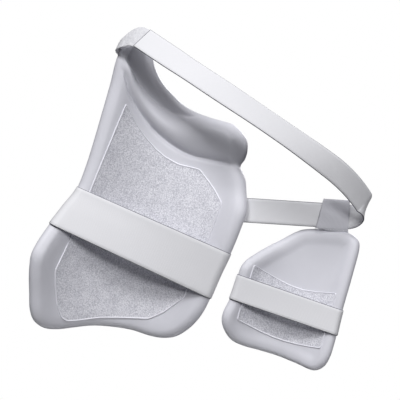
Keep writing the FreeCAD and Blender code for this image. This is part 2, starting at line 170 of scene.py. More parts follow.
def band(name, surface, thickness, material, rough=0.0, shaded_end=False):
    """A closed strip of cloth round a middle surface, given as rows of points: [along, across, xyz].
    rough ruffles it, and the last strip can take a near-black painted shade, a dark line at the cut end."""
    s = np.array(surface, float)
    n, m = s.shape[:2]
    d_along = unit(np.gradient(s, axis=0))
    d_across = unit(np.gradient(s, axis=1))
    normal = unit(np.cross(d_along, d_across))
    half = thickness / 2
    s = s + normal * np.random.default_rng(7).normal(0, rough, (n, m, 1)) if rough else s
    swell = half * EDGE_SWELL
    first, last = s[:, :1] - d_across[:, :1] * swell, s[:, -1:] + d_across[:, -1:] * swell
    loop = np.concatenate([s + normal * half, last, (s - normal * half)[:, ::-1], first], axis=1)
    count = loop.shape[1]
    ends = [loop[:1] * 1.0, loop[-1:] * 1.0]
    for k, sign in ((0, -1), (1, 1)):
        row = 0 if k == 0 else -1
        centre = np.concatenate([s[row], s[row, -1:], s[row, ::-1], s[row, :1]])[None]
        ends[k] = centre + (ends[k] - centre) * END_TAPER + d_along[row, 0] * sign * half * END_REACH
    rows = np.concatenate([ends[0], loop, ends[1]], axis=0)
    total = rows.shape[0]
    verts = rows.reshape(-1, 3)
    faces = []
    for i in range(total - 1):
        for j in range(count):
            k = (j + 1) % count
            faces.append((i * count + j, i * count + k, (i + 1) * count + k, (i + 1) * count + j))
    for row in (0, total - 1):
        base = row * count
        for j in range(m - 1):
            quad = (base + j, base + j + 1, base + 2 * m + 1 - (j + 2), base + 2 * m + 1 - (j + 1))
            faces.append(quad if row == 0 else quad[::-1])
        left = (base + count - 1, base, base + 2 * m)
        right = (base + m - 1, base + m, base + m + 1)
        faces.append(left if row == 0 else left[::-1])
        faces.append(right if row == 0 else right[::-1])
    middle = s[:, m // 2]
    run = np.r_[0, np.cumsum(np.linalg.norm(np.diff(middle, axis=0), axis=1))]
    wide = np.r_[0, np.cumsum(np.linalg.norm(np.diff(s[n // 2], axis=0), axis=1))]
    across = np.concatenate([wide, wide[-1:], wide[::-1], wide[:1]])
    run = np.r_[run[0], run, run[-1]]
    uv = np.stack(np.broadcast_arrays(run[:, None], across[None, :]), axis=-1).reshape(-1, 2)
    obj = make_object(name, verts, faces, material, uv)
    # Webbing's long edge faces, and when asked its last strip, take the near-black material: painted shade,
    # not the cloth's colour.
    if material is WEBBING:
        obj.data.materials.append(PAINTED_SHADE_EDGE)
        edge = np.zeros(len(faces), int)
        for i in range(total - 1):
            edge[[i * count + m - 1, i * count + m, i * count + count - 2, i * count + count - 1]] = 1
        if shaded_end:
            edge[(total - SHADED_END_ROWS) * count :] = 1
        obj.data.polygons.foreach_set("material_index", edge)
    tidy_normals(obj)
    return obj


def two_skins(name, front, back, count, material):
    """A closed body of two skins that share their first ring. Each is rings of points and a middle point."""
    total = len(front)
    rows = (total - 1) // count

    def rear(i):
        return i if i < count else i + total - count

    faces = []
    for pick, turned in ((int, False), (rear, True)):
        sheet = []
        for i in range(rows - 1):
            for j in range(count):
                k = (j + 1) % count
                sheet.append((i * count + j, i * count + k, (i + 1) * count + k, (i + 1) * count + j))
        for j in range(count):
            sheet.append(((rows - 1) * count + j, (rows - 1) * count + (j + 1) % count, total - 1))
        for face in sheet:
            picked = tuple(pick(i) for i in face)
            faces.append(picked[::-1] if turned else picked)
    obj = make_object(name, np.vstack([front, back[count:]]), faces, material)
    tidy_normals(obj)
    return obj


def tidy_normals(obj):
    """Turns every face outwards."""
    work = bmesh.new()
    work.from_mesh(obj.data)
    bmesh.ops.recalc_face_normals(work, faces=work.faces)
    work.to_mesh(obj.data)
    work.free()


# --- materials ----------------------------------------------------------------------------------------------


class Paint:
    """A small helper that lays out a Principled material's nodes."""

    def __init__(self, name, roughness):
        self.material = bpy.data.materials.new(name)
        self.material.use_nodes = True
        self.tree = self.material.node_tree
        self.shader = self.tree.nodes["Principled BSDF"]
        self.shader.inputs["Roughness"].default_value = roughness

    def node(self, kind, inputs=(), **settings):
        n = self.tree.nodes.new(kind)
        for key, value in settings.items():
            setattr(n, key, value)
        for key, value in dict(inputs).items():
            if hasattr(value, "is_output"):
                self.tree.links.new(value, n.inputs[key])
            else:
                n.inputs[key].default_value = value
        return n

    def place(self):
        return self.node("ShaderNodeTexCoord").outputs["Object"]

    def cloth(self):
        return self.node("ShaderNodeUVMap", uv_map="cloth").outputs["UV"]

    def noise(self, where, scale, detail=2.0, roughness=0.5):
        inputs = {"Vector": where, "Scale": scale, "Detail": detail, "Roughness": roughness}
        return self.node("ShaderNodeTexNoise", inputs).outputs["Fac"]

    def math(self, operation, a, b=0.0, c=0.0):
        n = self.node("ShaderNodeMath", operation=operation)
        for i, value in enumerate((a, b, c)):
            if hasattr(value, "is_output"):
                self.tree.links.new(value, n.inputs[i])
            else:
                n.inputs[i].default_value = value
        return n.outputs[0]

    def ramp(self, fac, stops):
        n = self.node("ShaderNodeValToRGB", {"Fac": fac})
        while len(n.color_ramp.elements) < len(stops):
            n.color_ramp.elements.new(0.5)
        for e, (at, colour) in zip(n.color_ramp.elements, stops):
            e.position = at
            e.color = (*colour, 1.0)
        return n.outputs["Color"]

    def finish(self, colour, height=None, strength=0.3, distance=0.0004):
        self.tree.links.new(colour, self.shader.inputs["Base Color"])
        if height is not None:
            bump = self.node("ShaderNodeBump", {"Strength": strength, "Distance": distance, "Height": height})
            self.tree.links.new(bump.outputs["Normal"], self.shader.inputs["Normal"])
        return self.material


def moulded_skin(name, tint=(0.63, 0.63, 0.685)):
    """Smooth moulded foam skin: soft satin, faint mottling, very fine grain."""
    p = Paint(name, roughness=0.52)
    where = p.place()
    cloud = p.noise(where, 22.0, 3.0)
    grain = p.noise(where, 1500.0, 2.0)
    dark = tuple(0.955 * c for c in tint)
    colour = p.ramp(cloud, [(0.3, dark), (0.7, tint)])
    return p.finish(colour, grain, 0.12, 0.0002)


def knit_lining(name):
    """Grainy spacer knit: pale tufts over shadowed gaps."""
    p = Paint(name, roughness=0.85)
    where = p.place()
    grain = p.noise(where, 620.0, 2.0, 0.65)
    cells = p.node("ShaderNodeTexVoronoi", {"Vector": where, "Scale": 520.0, "Randomness": 0.9})
    cloud = p.noise(where, 60.0, 2.0)
    mix = p.math("MULTIPLY_ADD", cells.outputs["Distance"], -0.45, grain)
    mix = p.math("MULTIPLY_ADD", cloud, 0.25, mix)
    stops = [(0.15, (0.44, 0.44, 0.495)), (0.4, (0.62, 0.62, 0.675)), (0.62, (0.80, 0.80, 0.85))]
    colour = p.ramp(mix, stops)
    return p.finish(colour, mix, 0.45, 0.0007)


CORD_PITCH = 0.0016  # metres
PICK_PITCH = 0.0011


def webbing(name, tint=(0.69, 0.69, 0.72)):
    """Flat elastic webbing: fine cords along the strap, crossed by finer picks."""
    p = Paint(name, roughness=0.7)
    cloth = p.cloth()
    split = p.node("ShaderNodeSeparateXYZ", {"Vector": cloth})
    run, across = split.outputs["X"], split.outputs["Y"]
    cords = p.math("SINE", p.math("MULTIPLY", across, 2 * math.pi / CORD_PITCH))
    picks = p.math("SINE", p.math("MULTIPLY", run, 2 * math.pi / PICK_PITCH))
    weave = p.math("MULTIPLY_ADD", picks, 0.35, cords)
    fuzz = p.noise(p.place(), 900.0, 2.0)
    height = p.math("MULTIPLY_ADD", fuzz, 0.8, weave)
    dark = tuple(0.93 * c for c in tint)
    colour = p.ramp(p.math("MULTIPLY_ADD", height, 0.25, 0.35), [(0.2, dark), (0.7, tint)])
    return p.finish(colour, height, 0.22, 0.0003)


def loop_pile(name):
    """Brushed loop tape: a short fuzzy pile."""
    p = Paint(name, roughness=0.95)
    where = p.place()
    pile = p.noise(where, 800.0, 4.0, 0.7)
    tufts = p.noise(where, 260.0, 2.0)
    mix = p.math("MULTIPLY_ADD", tufts, 0.5, p.math("MULTIPLY", pile, 0.6))
    colour = p.ramp(mix, [(0.3, (0.496, 0.496, 0.536)), (0.75, (0.696, 0.696, 0.72))])
    return p.finish(colour, mix, 0.6, 0.0010)


def hook_field(name):
    """Hook tape: rows of tiny stiff hooks."""
    p = Paint(name, roughness=0.5)
    cells = p.node("ShaderNodeTexVoronoi", {"Vector": p.place(), "Scale": 700.0, "Randomness": 0.25})
    spot = p.math("SUBTRACT", 1.0, cells.outputs["Distance"])
    colour = p.ramp(spot, [(0.35, (0.66, 0.66, 0.70)), (0.8, (0.86, 0.86, 0.88))])
    return p.finish(colour, spot, 0.7, 0.0008)


SKIN = moulded_skin("moulded_skin")
LINING = knit_lining("knit_lining")
WEBBING = webbing("elastic_webbing")
PILE = loop_pile("brushed_loop")
HOOKS = hook_field("hook_tape")
PIPING = moulded_skin("welt_skin", (0.74, 0.74, 0.80))
PATCH = moulded_skin("sewn_patch_skin", (0.78, 0.78, 0.82))
THREAD = moulded_skin("thread", (0.84, 0.84, 0.87))
# The sleeve's cloth is the webbing darkened: painted shade for the sleeve lying in shade behind the belt.
PAINTED_SHADE_SLEEVE_CLOTH = webbing("sleeve_cloth_painted_shade", (0.56, 0.56, 0.61))
# Near-black painted shade for the webbing's edge faces and the belt's end line, not a colour the webbing has.
PAINTED_SHADE_EDGE = webbing("painted_shade_edge", (0.14, 0.14, 0.17))


# --- guards -------------------------------------------------------------------------------------------------


SUNK = 1.5  # how deep a lining's back lies in the foam, millimetres


class Guard:
    """A moulded slab bent round an upright axis. Its flat pattern is measured round the middle surface."""

    ROWS = 100

    def __init__(self, axis, inside_radius, outside_radius, outline, heart, curl, relief, pods):
        self.axis = axis
        self.inner, self.outer = inside_radius, outside_radius
        self.middle = (inside_radius + outside_radius) / 2
        self.cap = (outside_radius - inside_radius) / 2
        self.curl, self.relief, self.pods = curl, relief, pods
        drawn = evenly(through(outline), 900)
        ahead = np.roll(drawn, -1, axis=0) - np.roll(drawn, 1, axis=0)
        side = np.array([ahead[:, 1], -ahead[:, 0]]).T
        side = unit(side)
        middle = drawn.mean(0)
        if ((drawn - middle) * side).sum() < 0:
            side = -side
        cap_centre = drawn[:, 0] - side[:, 0] * self.cap
        lifted = self.middle + curl[1]
        around = self.middle * np.arcsin(np.clip((cap_centre - axis[0]) / lifted, -0.999, 0.999))
        self.edge = evenly(np.column_stack([around + side[:, 0] * self.cap, drawn[:, 1]]), 600)
        self.heart = np.array([self.middle * math.asin((heart[0] - axis[0]) / self.middle), heart[1]])

    def around(self, x):
        """Distance round the middle surface for a drawn x on the body side."""
        sine = (np.asarray(x, float) - self.axis[0]) / self.inner
        return self.middle * np.arcsin(np.clip(sine, -0.99, 0.99))

    def place(self, flat, radius):
        a = flat[:, 0] / self.middle
        return np.column_stack([
            self.axis[0] + radius * np.sin(a), self.axis[1] + radius * np.cos(a), flat[:, 1]
        ])

    def curled(self, d):
        reach, rise = self.curl
        return rise * (1 - np.clip(d / reach, 0, 1)) ** 2

    def radii(self, flat, d=None):
        """The body side's and the outside's radius at places on the flat pattern."""
        if d is None:
            d = distance_to(flat, self.edge)
        c = self.cap
        half = c * np.sqrt(np.clip(1 - (1 - np.clip(d / c, 0, 1)) ** 2, 0, 1))
        fade = ease(d / (1.5 * c))
        x = self.axis[0] + self.inner * np.sin(flat[:, 0] / self.middle)
        centre = self.middle + self.curled(d)
        body = centre - half - fade * self.relief(x, flat[:, 1], d)
        back = centre + half + fade * self.pods(flat[:, 0], flat[:, 1], d)
        return body, back

    def shell(self, name):
        ring = self.edge
        reach = self.heart - ring
        length = np.linalg.norm(reach, axis=1, keepdims=True)
        close = [0, 0.25, 0.8, 1.6, 2.7, 4.0, 5.5, 7.2, 9.0, 11.2, 13.6, 16.4, 19.6]
        layers = [ring + reach / length * w for w in close]
        start = close[-1] / length
        for k in range(1, self.ROWS):
            layers.append(ring + reach * (start + (0.995 - start) * (k / self.ROWS) ** 0.95))
        flat = np.vstack(layers + [self.heart[None]])
        d = distance_to(flat, ring)
        d[: len(ring)] = 0
        body, back = self.radii(flat, d)
        return two_skins(name, self.place(flat, body), self.place(flat, back), len(ring), SKIN)

    def inlay(self, name, corners, heart, material, lift, welt, corner_radius=4.0):
        """A lining laid on the body side, with a thin raised edge all round. Its back is inside the foam."""
        outline = rounded(corners, corner_radius)
        ring = evenly(np.column_stack([self.around(outline[:, 0]), outline[:, 1]]), 520)
        centre = np.array([float(self.around(heart[0])), heart[1]])
        reach = centre - ring
        length = np.linalg.norm(reach, axis=1, keepdims=True)
        top = lift + welt
        profile = [(0, -SUNK), (0, lift * 0.5), (0.25, lift * 0.9), (0.6, lift + welt * 0.75), (1.0, top),
                   (1.5, lift + welt * 0.85), (2.0, lift + welt * 0.35), (2.6, lift), (3.4, lift),
                   (4.6, lift)]
        layers = [ring + reach / length * w for w, _ in profile]
        tall = [np.full(len(ring), h) for _, h in profile]
        start = profile[-1][0] / length
        for k in range(1, 60):
            layers.append(ring + reach * (start + (0.995 - start) * k / 60))
            tall.append(np.full(len(ring), lift))
        flat = np.vstack(layers + [centre[None]])
        body, _ = self.radii(flat)
        front = self.place(flat, body - np.r_[np.concatenate(tall), lift])
        obj = two_skins(name, front, self.place(flat, body + SUNK), len(ring), material)
        obj.data.materials.append(PIPING)
        rim = np.zeros(len(obj.data.polygons), int)
        rim[len(ring) : 7 * len(ring)] = 1
        obj.data.polygons.foreach_set("material_index", rim)
        return obj

    def edges_at(self, z):
        """Where the flat pattern's edge crosses a height, left and right."""
        a, b = self.edge, np.roll(self.edge, -1, axis=0)
        hit = (a[:, 1] > z) != (b[:, 1] > z)
        s = a[hit, 0] + (z - a[hit, 1]) * (b[hit, 0] - a[hit, 0]) / (b[hit, 1] - a[hit, 1])
        return s.min(), s.max()

    def strap_row(self, z_left, z_right, start, end):
        """One lengthwise line of a thigh strap: outside, left edge, across, right edge, outside."""
        left = (self.edges_at(z_left)[0] + self.cap) / self.middle
        right = (self.edges_at(z_right)[1] - self.cap) / self.middle
        rim = self.middle + self.curled(self.cap)
        reach = self.cap + RIM_GAP
        x, y = self.axis
        ends = [np.array([x + rim * math.sin(a), y + rim * math.cos(a)]) for a in (left, right)]
        run = unit(ends[1] - ends[0])
        forward = math.atan2(-run[0], run[1])
        start, end = math.radians(start), math.radians(end)

        def outside(a, edge):
            near = ease(1 - abs(a - edge) / math.radians(OUTER_FACE_FADE))
            r = self.middle + self.cap + TAPE_GAP + (rim - self.middle + RIM_GAP - TAPE_GAP) * near
            return x + r * math.sin(a), y + r * math.cos(a)

        plan = [outside(a, left) for a in np.linspace(start, left, STRAP_COUNTS[0], endpoint=False)]
        for a in np.linspace(math.pi / 2 - left, forward + 2 * math.pi, STRAP_COUNTS[1], endpoint=False):
            plan.append((ends[0][0] + reach * math.cos(a), ends[0][1] + reach * math.sin(a)))
        out = np.array([math.cos(forward), math.sin(forward)]) * reach
        for t in np.linspace(0, 1, STRAP_COUNTS[2], endpoint=False):
            plan.append(tuple(ends[0] + out + (ends[1] - ends[0]) * t))
        for a in np.linspace(forward, math.pi / 2 - right, STRAP_COUNTS[3], endpoint=False):
            plan.append((ends[1][0] + reach * math.cos(a), ends[1][1] + reach * math.sin(a)))
        plan += [outside(a, right) for a in np.linspace(right, end, STRAP_COUNTS[4])]
        return np.array(plan), ends[0][0], ends[1][0]


WEB = 2.2  # webbing thickness, millimetres
RIM_GAP = 1.5  # from a guard's rim to the middle of its strap
TAPE_GAP = 3.4  # the same on the outer face, where hook and loop tapes lie between
OUTER_FACE_FADE = 9.0  # degrees
STRAP_COUNTS = (24, 22, 60, 22, 24)  # points outside, round the left edge, across, round the right, outside

OUTER_OUTLINE = [
    (-221, 48), (-219, 66), (-212, 85), (-200, 93), (-186, 87), (-174, 70), (-166, 57), (-150, 41),
    (-128, 28), (-108, 19), (-89, 15), (-66, 14), (-45, 15), (-30, 15), (-16, 10), (-4, 0), (2, -14),
    (3, -28), (0, -40), (5, -46), (13, -56), (20, -72), (27, -90), (30, -105), (30, -128), (28, -163),
    (24, -200), (21, -236), (17, -262), (8, -285), (-8, -306), (-25, -315), (-45, -319), (-72, -320),
    (-101, -325), (-131, -333), (-156, -344), (-177, -353), (-195, -356), (-211, -350), (-221, -337),
    (-230, -312), (-239, -284), (-244, -259), (-242, -240), (-235, -212), (-225, -180), (-215, -150),
    (-213, -112), (-214, -74), (-216, -31), (-218, 9),
]

ridge_line = table([(-240, 90), (-215, 57), (-200, 45), (-182, 26), (-163, 12), (-141, 2), (-123, -2),
                    (-105, -2), (-89, 2), (-77, 8), (-66, 14), (-50, 21), (-30, 24), (20, 24)])
groove_line = table([(-240, 80), (-218, 52), (-201, 31), (-188, 10), (-170, -8), (-146, -25), (-125, -35),
                     (-105, -42), (-86, -46), (-68, -47), (-52, -45), (-35, -43), (-18, -41), (0, -41),
                     (30, -44)])
roll_height = table([(-225, 3), (-200, 5), (-170, 8), (-130, 11), (-90, 13), (-40, 14), (20, 13)])


def outer_relief(x, z, d):
    """Height of the body side above its cylinder: hip roll, flange above it and soft hollows."""
    groove, ridge = groove_line(x), ridge_line(x)
    n = (z - groove) / np.maximum(ridge - groove, 4.0)
    m = np.clip(n, 0, 1)
    roll = roll_height(x) * np.sin(math.pi * m) ** 0.7
    crease = -2.2 * np.exp(-(((z - groove) / 5.0) ** 2))
    flange = -5.0 * ease((z - ridge) / 5.0)
    body = 1.5 * ease((groove - z) / 6.0) * np.exp(-np.clip(groove - z, 0, None) / 45.0)
    return roll + crease + flange + body


def outer_pods(s, z, d):
    """Outside: flexing grooves cut between pods, inside a plain border."""
    dips = np.exp(-(((d - 17) / 3.5) ** 2))
    for at in (-62.0, 22.0):
        dips = np.maximum(dips, np.exp(-(((s - at - 0.05 * (z + 140)) / 5.0) ** 2)))
    for at in (-60.0, -165.0, -255.0):
        dips = np.maximum(dips, np.exp(-(((z - at - 0.10 * s) / 5.0) ** 2)))
    return -4.0 * dips


outer = Guard((-93.0, -68.0), 158.0, 178.0, OUTER_OUTLINE, (-105, -150), (24.0, 4.0), outer_relief,
              outer_pods)
outer_shell = outer.shell("outer_guard_moulding")
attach(outer_shell, ROOT)
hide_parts("outer_guard_moulded_shell", "outer_guard_body_side_foam", "outer_guard_hip_roll",
            "outer_guard_impact_plate")

OUTER_PANEL = [
    (-188, -9), (-183, -12), (-164, -31), (-148, -43), (-127, -55), (-109, -62), (-87, -66), (-54, -63),
    (-24, -84), (-8, -99), (-9, -158), (-14, -238), (-16, -250), (-36, -279), (-54, -296), (-93, -308),
    (-123, -318), (-153, -332), (-167, -337), (-176, -334), (-187, -318), (-198, -291), (-205, -270),
    (-200, -224), (-195, -147),
]
outer_lining = outer.inlay("outer_guard_lining", OUTER_PANEL, (-110, -180), LINING, 0.9, 0.9)
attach(outer_lining, ROOT)
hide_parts("outer_guard_lining_panel", "outer_guard_lining_welt")

INNER_OUTLINE = [
    (105, -107), (116, -98), (136, -90), (161, -84), (182, -81), (191, -83), (198, -89), (201, -98),
    (204, -137), (207, -195), (211, -241), (211, -261), (208, -274), (202, -282), (194, -286),
    (168, -285), (141, -284), (112, -285), (88, -286), (69, -283), (54, -272), (46, -260), (44, -248),
    (47, -225), (47, -192), (47, -178), (51, -167), (60, -155), (75, -138), (91, -122),
]


def inner_relief(x, z, d):
    """Body side: a shallow dish inside the rim."""
    return -1.5 * ease((d - 9) / 16)


def inner_pods(s, z, d):
    """Outside: flexing grooves like the outer guard's, narrower and shallower."""
    dips = np.exp(-(((d - 13) / 3.0) ** 2))
    for gap in (s + 4, z + 165, z + 245):
        dips = np.maximum(dips, np.exp(-((gap / 4.5) ** 2)))
    return -3.0 * dips


inner = Guard((127.0, -46.0), 112.0, 126.0, INNER_OUTLINE, (130, -190), (16.0, 2.5), inner_relief, inner_pods)
inner_shell = inner.shell("inner_guard_moulding")
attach(inner_shell, "inner_guard")
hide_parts("inner_guard_moulded_shell", "inner_guard_body_side_foam",
            "inner_guard_impact_plate")

INNER_PANEL = [
    (64, -169), (84, -173), (104, -177), (124, -180), (145, -180), (166, -176), (190, -169), (191, -200),
    (193, -229), (194, -252), (177, -256), (160, -259), (142, -261), (125, -261), (106, -259), (88, -256),
    (67, -252), (65, -230),
]
inner_lining = inner.inlay("inner_guard_lining", INNER_PANEL, (128, -216), LINING, 0.8, 0.8, 2.0)
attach(inner_lining, "inner_guard")
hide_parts("inner_guard_lining_panel", "inner_guard_lining_welt")


# --- thigh straps -------------------------------------------------------------------------------------------


def strap_surface(guard, top, bottom, start, end, rows=15):
    """The middle surface of a strap. top and bottom are its edges' heights at the left and right rims."""
    lines = []
    for v in np.linspace(0, 1, rows):
        z_left = top[0] + (bottom[0] - top[0]) * v
        z_right = top[1] + (bottom[1] - top[1]) * v
        plan, x_left, x_right = guard.strap_row(z_left, z_right, start, end)
        t = np.clip((plan[:, 0] - x_left) / (x_right - x_left), -0.3, 1.3)
        lines.append(np.column_stack([plan, z_left + (z_right - z_left) * t]))
    return np.stack(lines, axis=1)


def on_guard(guard, angle, radius, z):
    """A point round a guard's axis, at degrees from straight behind it."""
    a = math.radians(angle)
    return np.array([guard.axis[0] + radius * math.sin(a), guard.axis[1] + radius * math.cos(a), z])


def thigh_strap(prefix, surface, cut, hinge, bodies, nodes):
    """A strap in two pieces that meet on the outer side of a rim. The end piece is baked where it lies; the
    sign of hinge picks which end it is.
    """
    ends = (surface[:cut + 1], surface[cut:])
    end_piece, main_piece = ends if hinge[0] < 0 else ends[::-1]
    main = band(prefix + "_thigh_webbing", main_piece, WEB, WEBBING)
    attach(main, bodies[0])
    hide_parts(nodes[0])
    loose = band(prefix + "_webbing_end", end_piece, WEB, WEBBING)
    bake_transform(loose)
    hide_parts(nodes[1])


outer_strap = strap_surface(outer, (-147, -165), (-209, -235), -20.0, 20.0)
thigh_strap("outer", outer_strap, STRAP_COUNTS[0] + 4, (-45.0, -35.0), (ROOT, "outer_strap_end"),
            ("outer_thigh_strap", "outer_strap_peeling_end"))
inner_strap = strap_surface(inner, (-190, -190), (-226, -226), -16.0, 8.0, 11)
thigh_strap("inner", inner_strap, sum(STRAP_COUNTS) - STRAP_COUNTS[4] - 5, (38.0, 29.0),
            ("inner_guard", "inner_strap_end"), ("inner_thigh_strap", "inner_strap_peeling_end"))


# --- sewn patches -------------------------------------------------------------------------------------------


def patch_rows(place, length, width):
    """Rows of points for a patch with rounded corners. place(u, v) gives a point and which way is out."""
    corner = 4.0
    near = corner * (1 - np.cos(np.linspace(0.05, math.pi / 2, 7)))
    lengthwise = np.r_[near, np.linspace(corner, length - corner, 16)[1:-1], length - near[::-1]]
    rows = []
    for u in lengthwise:
        edge = min(u, length - u)
        inset = corner - math.sqrt(max(corner**2 - max(corner - edge, 0) ** 2, 0))
        rows.append([place(u, v)[0] for v in np.linspace(-width / 2 + inset, width / 2 - inset, 13)])
    return np.array(rows)


THREAD_SIDES = 6
STITCH_BOW = [  # place along a stitch, height and width there, in thread radii
    (-0.5, -0.3, 0.6), (-0.25, 0.25, 1.0), (0, 0.45, 1.05), (0.25, 0.25, 1.0), (0.5, -0.3, 0.6),
]


def stitches(name, place, lines, lift, body, pitch=3.4, length=2.5, radius=0.32):
    """Rows of thread stitches. Each is a little bowed cord whose ends sink into the cloth."""
    verts, faces = [], []
    for (u0, v0), (u1, v1) in lines:
        run = math.hypot(u1 - u0, v1 - v0)
        du, dv = (u1 - u0) / run, (v1 - v0) / run
        for at in np.arange(pitch / 2, run - length / 2, pitch):
            first = len(verts)
            for t, high, wide in STITCH_BOW:
                u, v = u0 + du * (at + t * length), v0 + dv * (at + t * length)
                point, out = place(u, v)
                ahead = unit(place(u + du, v + dv)[0] - point)
                side = np.cross(out, ahead)
                for a in np.linspace(0, 2 * math.pi, THREAD_SIDES, endpoint=False):
                    verts.append(point + out * (lift + high * radius + math.sin(a) * radius * wide)
                                 + side * math.cos(a) * radius * wide)
            for i in range(len(STITCH_BOW) - 1):
                here, there = first + i * THREAD_SIDES, first + (i + 1) * THREAD_SIDES
                for j in range(THREAD_SIDES):
                    k = (j + 1) % THREAD_SIDES
                    faces.append((here + j, here + k, there + k, there + j))
            faces.append(tuple(first + j for j in range(THREAD_SIDES))[::-1])
            faces.append(tuple(there + j for j in range(THREAD_SIDES)))
    obj = make_object(name, verts, faces, THREAD)
    tidy_normals(obj)
    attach(obj, body)


def box_and_cross(u0, u1, v0, v1):
    """Stitch lines of a box with both its diagonals."""
    corners = [(u0, v0), (u1, v0), (u1, v1), (u0, v1)]
    sides = [(corners[i], corners[(i + 1) % 4]) for i in range(4)]
    return sides + [(corners[0], corners[2]), (corners[1], corners[3])]


PATCH_THICKNESS = 1.3


def sewn_patch(name, guard, angles, height, slope, stand, node, body):
    """A patch over a strap's sewn end. angles are its bare end, where it steps up, and its far end.
    height is its middle height at the step and its width; slope leans it; stand is its rise on the strap."""
    bare, step, far = angles
    way = 1.0 if far > bare else -1.0
    z_middle, width = height
    r = guard.outer
    x_step = on_guard(guard, step, r, 0)[0]

    def place(u, v):
        angle = bare + way * math.degrees(u / r)
        radius = r + 1.0 + (stand - 1.0) * ease((way * (angle - step) + 1.0) / 2.0)
        point = on_guard(guard, angle, radius, z_middle - v)
        point[2] += slope * (point[0] - x_step)
        a = math.radians(angle)
        return point, np.array([math.sin(a), math.cos(a), 0.0])

    length = r * math.radians(abs(far - bare))
    step_at = r * math.radians(abs(step - bare))
    patch = band(name, patch_rows(place, length, width), PATCH_THICKNESS, PATCH)
    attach(patch, body)
    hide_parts(node)
    inset = 3.5
    lines = box_and_cross(step_at + inset + 1, length - inset, -width / 2 + inset, width / 2 - inset)
    lines.append(((inset, -width / 2 + inset), (inset, width / 2 - inset)))
    stitches(name + "_stitching", place, lines, PATCH_THICKNESS / 2, body)


sewn_patch("outer_strap_sewn_end", outer, (13.0, 19.3, 27.0), (-196.0, 62.0), -0.085, 5.2,
           "outer_strap_sewn_patch", ROOT)
sewn_patch("inner_strap_sewn_end", inner, (-9.0, -15.3, -23.0), (-208.0, 33.0), 0.0, 5.2,
           "inner_strap_sewn_patch", "inner_guard")
sewn_patch("belt_sewn_end", outer, (8.0, 13.6, 21.0), (-121.5, 42.0), 0.2736, 3.4, "belt_sewn_patch", ROOT)


# --- waist belt ---------------------------------------------------------------------------------------------


class Route:
    """The belt's line in plan, with its height, as closely spaced stations."""

    def __init__(self, x, y, heading, z, slope):
        self.x, self.y, self.heading, self.z = x, y, heading, z
        self.rows = [(x, y, heading, z, slope)]
        self.marks = {}

    def go(self, length, turn, slope_0, slope_1, step=2.0):
        """Goes on for a length, turning by degrees, while the slope changes evenly."""
        count = max(3, int(math.ceil(length / step)))
        half = math.radians(turn) / count / 2
        chord = length / count * (math.sin(half) / half if turn else 1)
        for i in range(count):
            slope = slope_0 + (slope_1 - slope_0) * (i + 0.5) / count
            a = math.radians(self.heading) + half
            self.x += math.cos(a) * chord
            self.y += math.sin(a) * chord
            self.heading += turn / count
            self.z += math.tan(math.radians(slope)) * length / count
            end_slope = slope_0 + (slope_1 - slope_0) * (i + 1) / count
            self.rows.append((self.x, self.y, self.heading, self.z, end_slope))

    def mark(self, name):
        self.marks[name] = len(self.rows) - 1


BELT_WIDTH = 34.0
BELT_START_ANGLE = 14.0  # degrees round the outer guard's axis
BELT_START_Z = -122.0
BELT_FACE_RADIUS = 179.5
BELT_FACE_TURN = 22.0
BELT_LEAVE_RADIUS = 60.0
BELT_SLOPE = 15.3
BEND_SLOPE = 44.0
NEAR_START_SLOPE = 28.0
NEAR_SLOPE = 14.8
NEAR_SLOPE_LENGTH = 80.0
STRAIGHT_END_X = 174.0
BEND_RADIUS = 16.0
BEND_TURN = 139.0
BELT_END_LENGTH = 54.0
TAB_FREE_LENGTH = 32.0
TAB_UNDER = 3.2  # the tab's middle lies this far inside the belt's line
TAB_FREE_SLOPE = -26.0
TAB_WRAP_SLOPE = -8.0
TAB_END_SLOPE = -4.0
TAB_STRAIGHT = 5.0
TAB_FACE_TURN = 11.0
TIP_ANGLE = 42.0  # where the tab comes back to the outer face
TIP_HEADING = 140.0  # the belt's heading where the tip's bend begins
TIP_RADIUS = 17.0


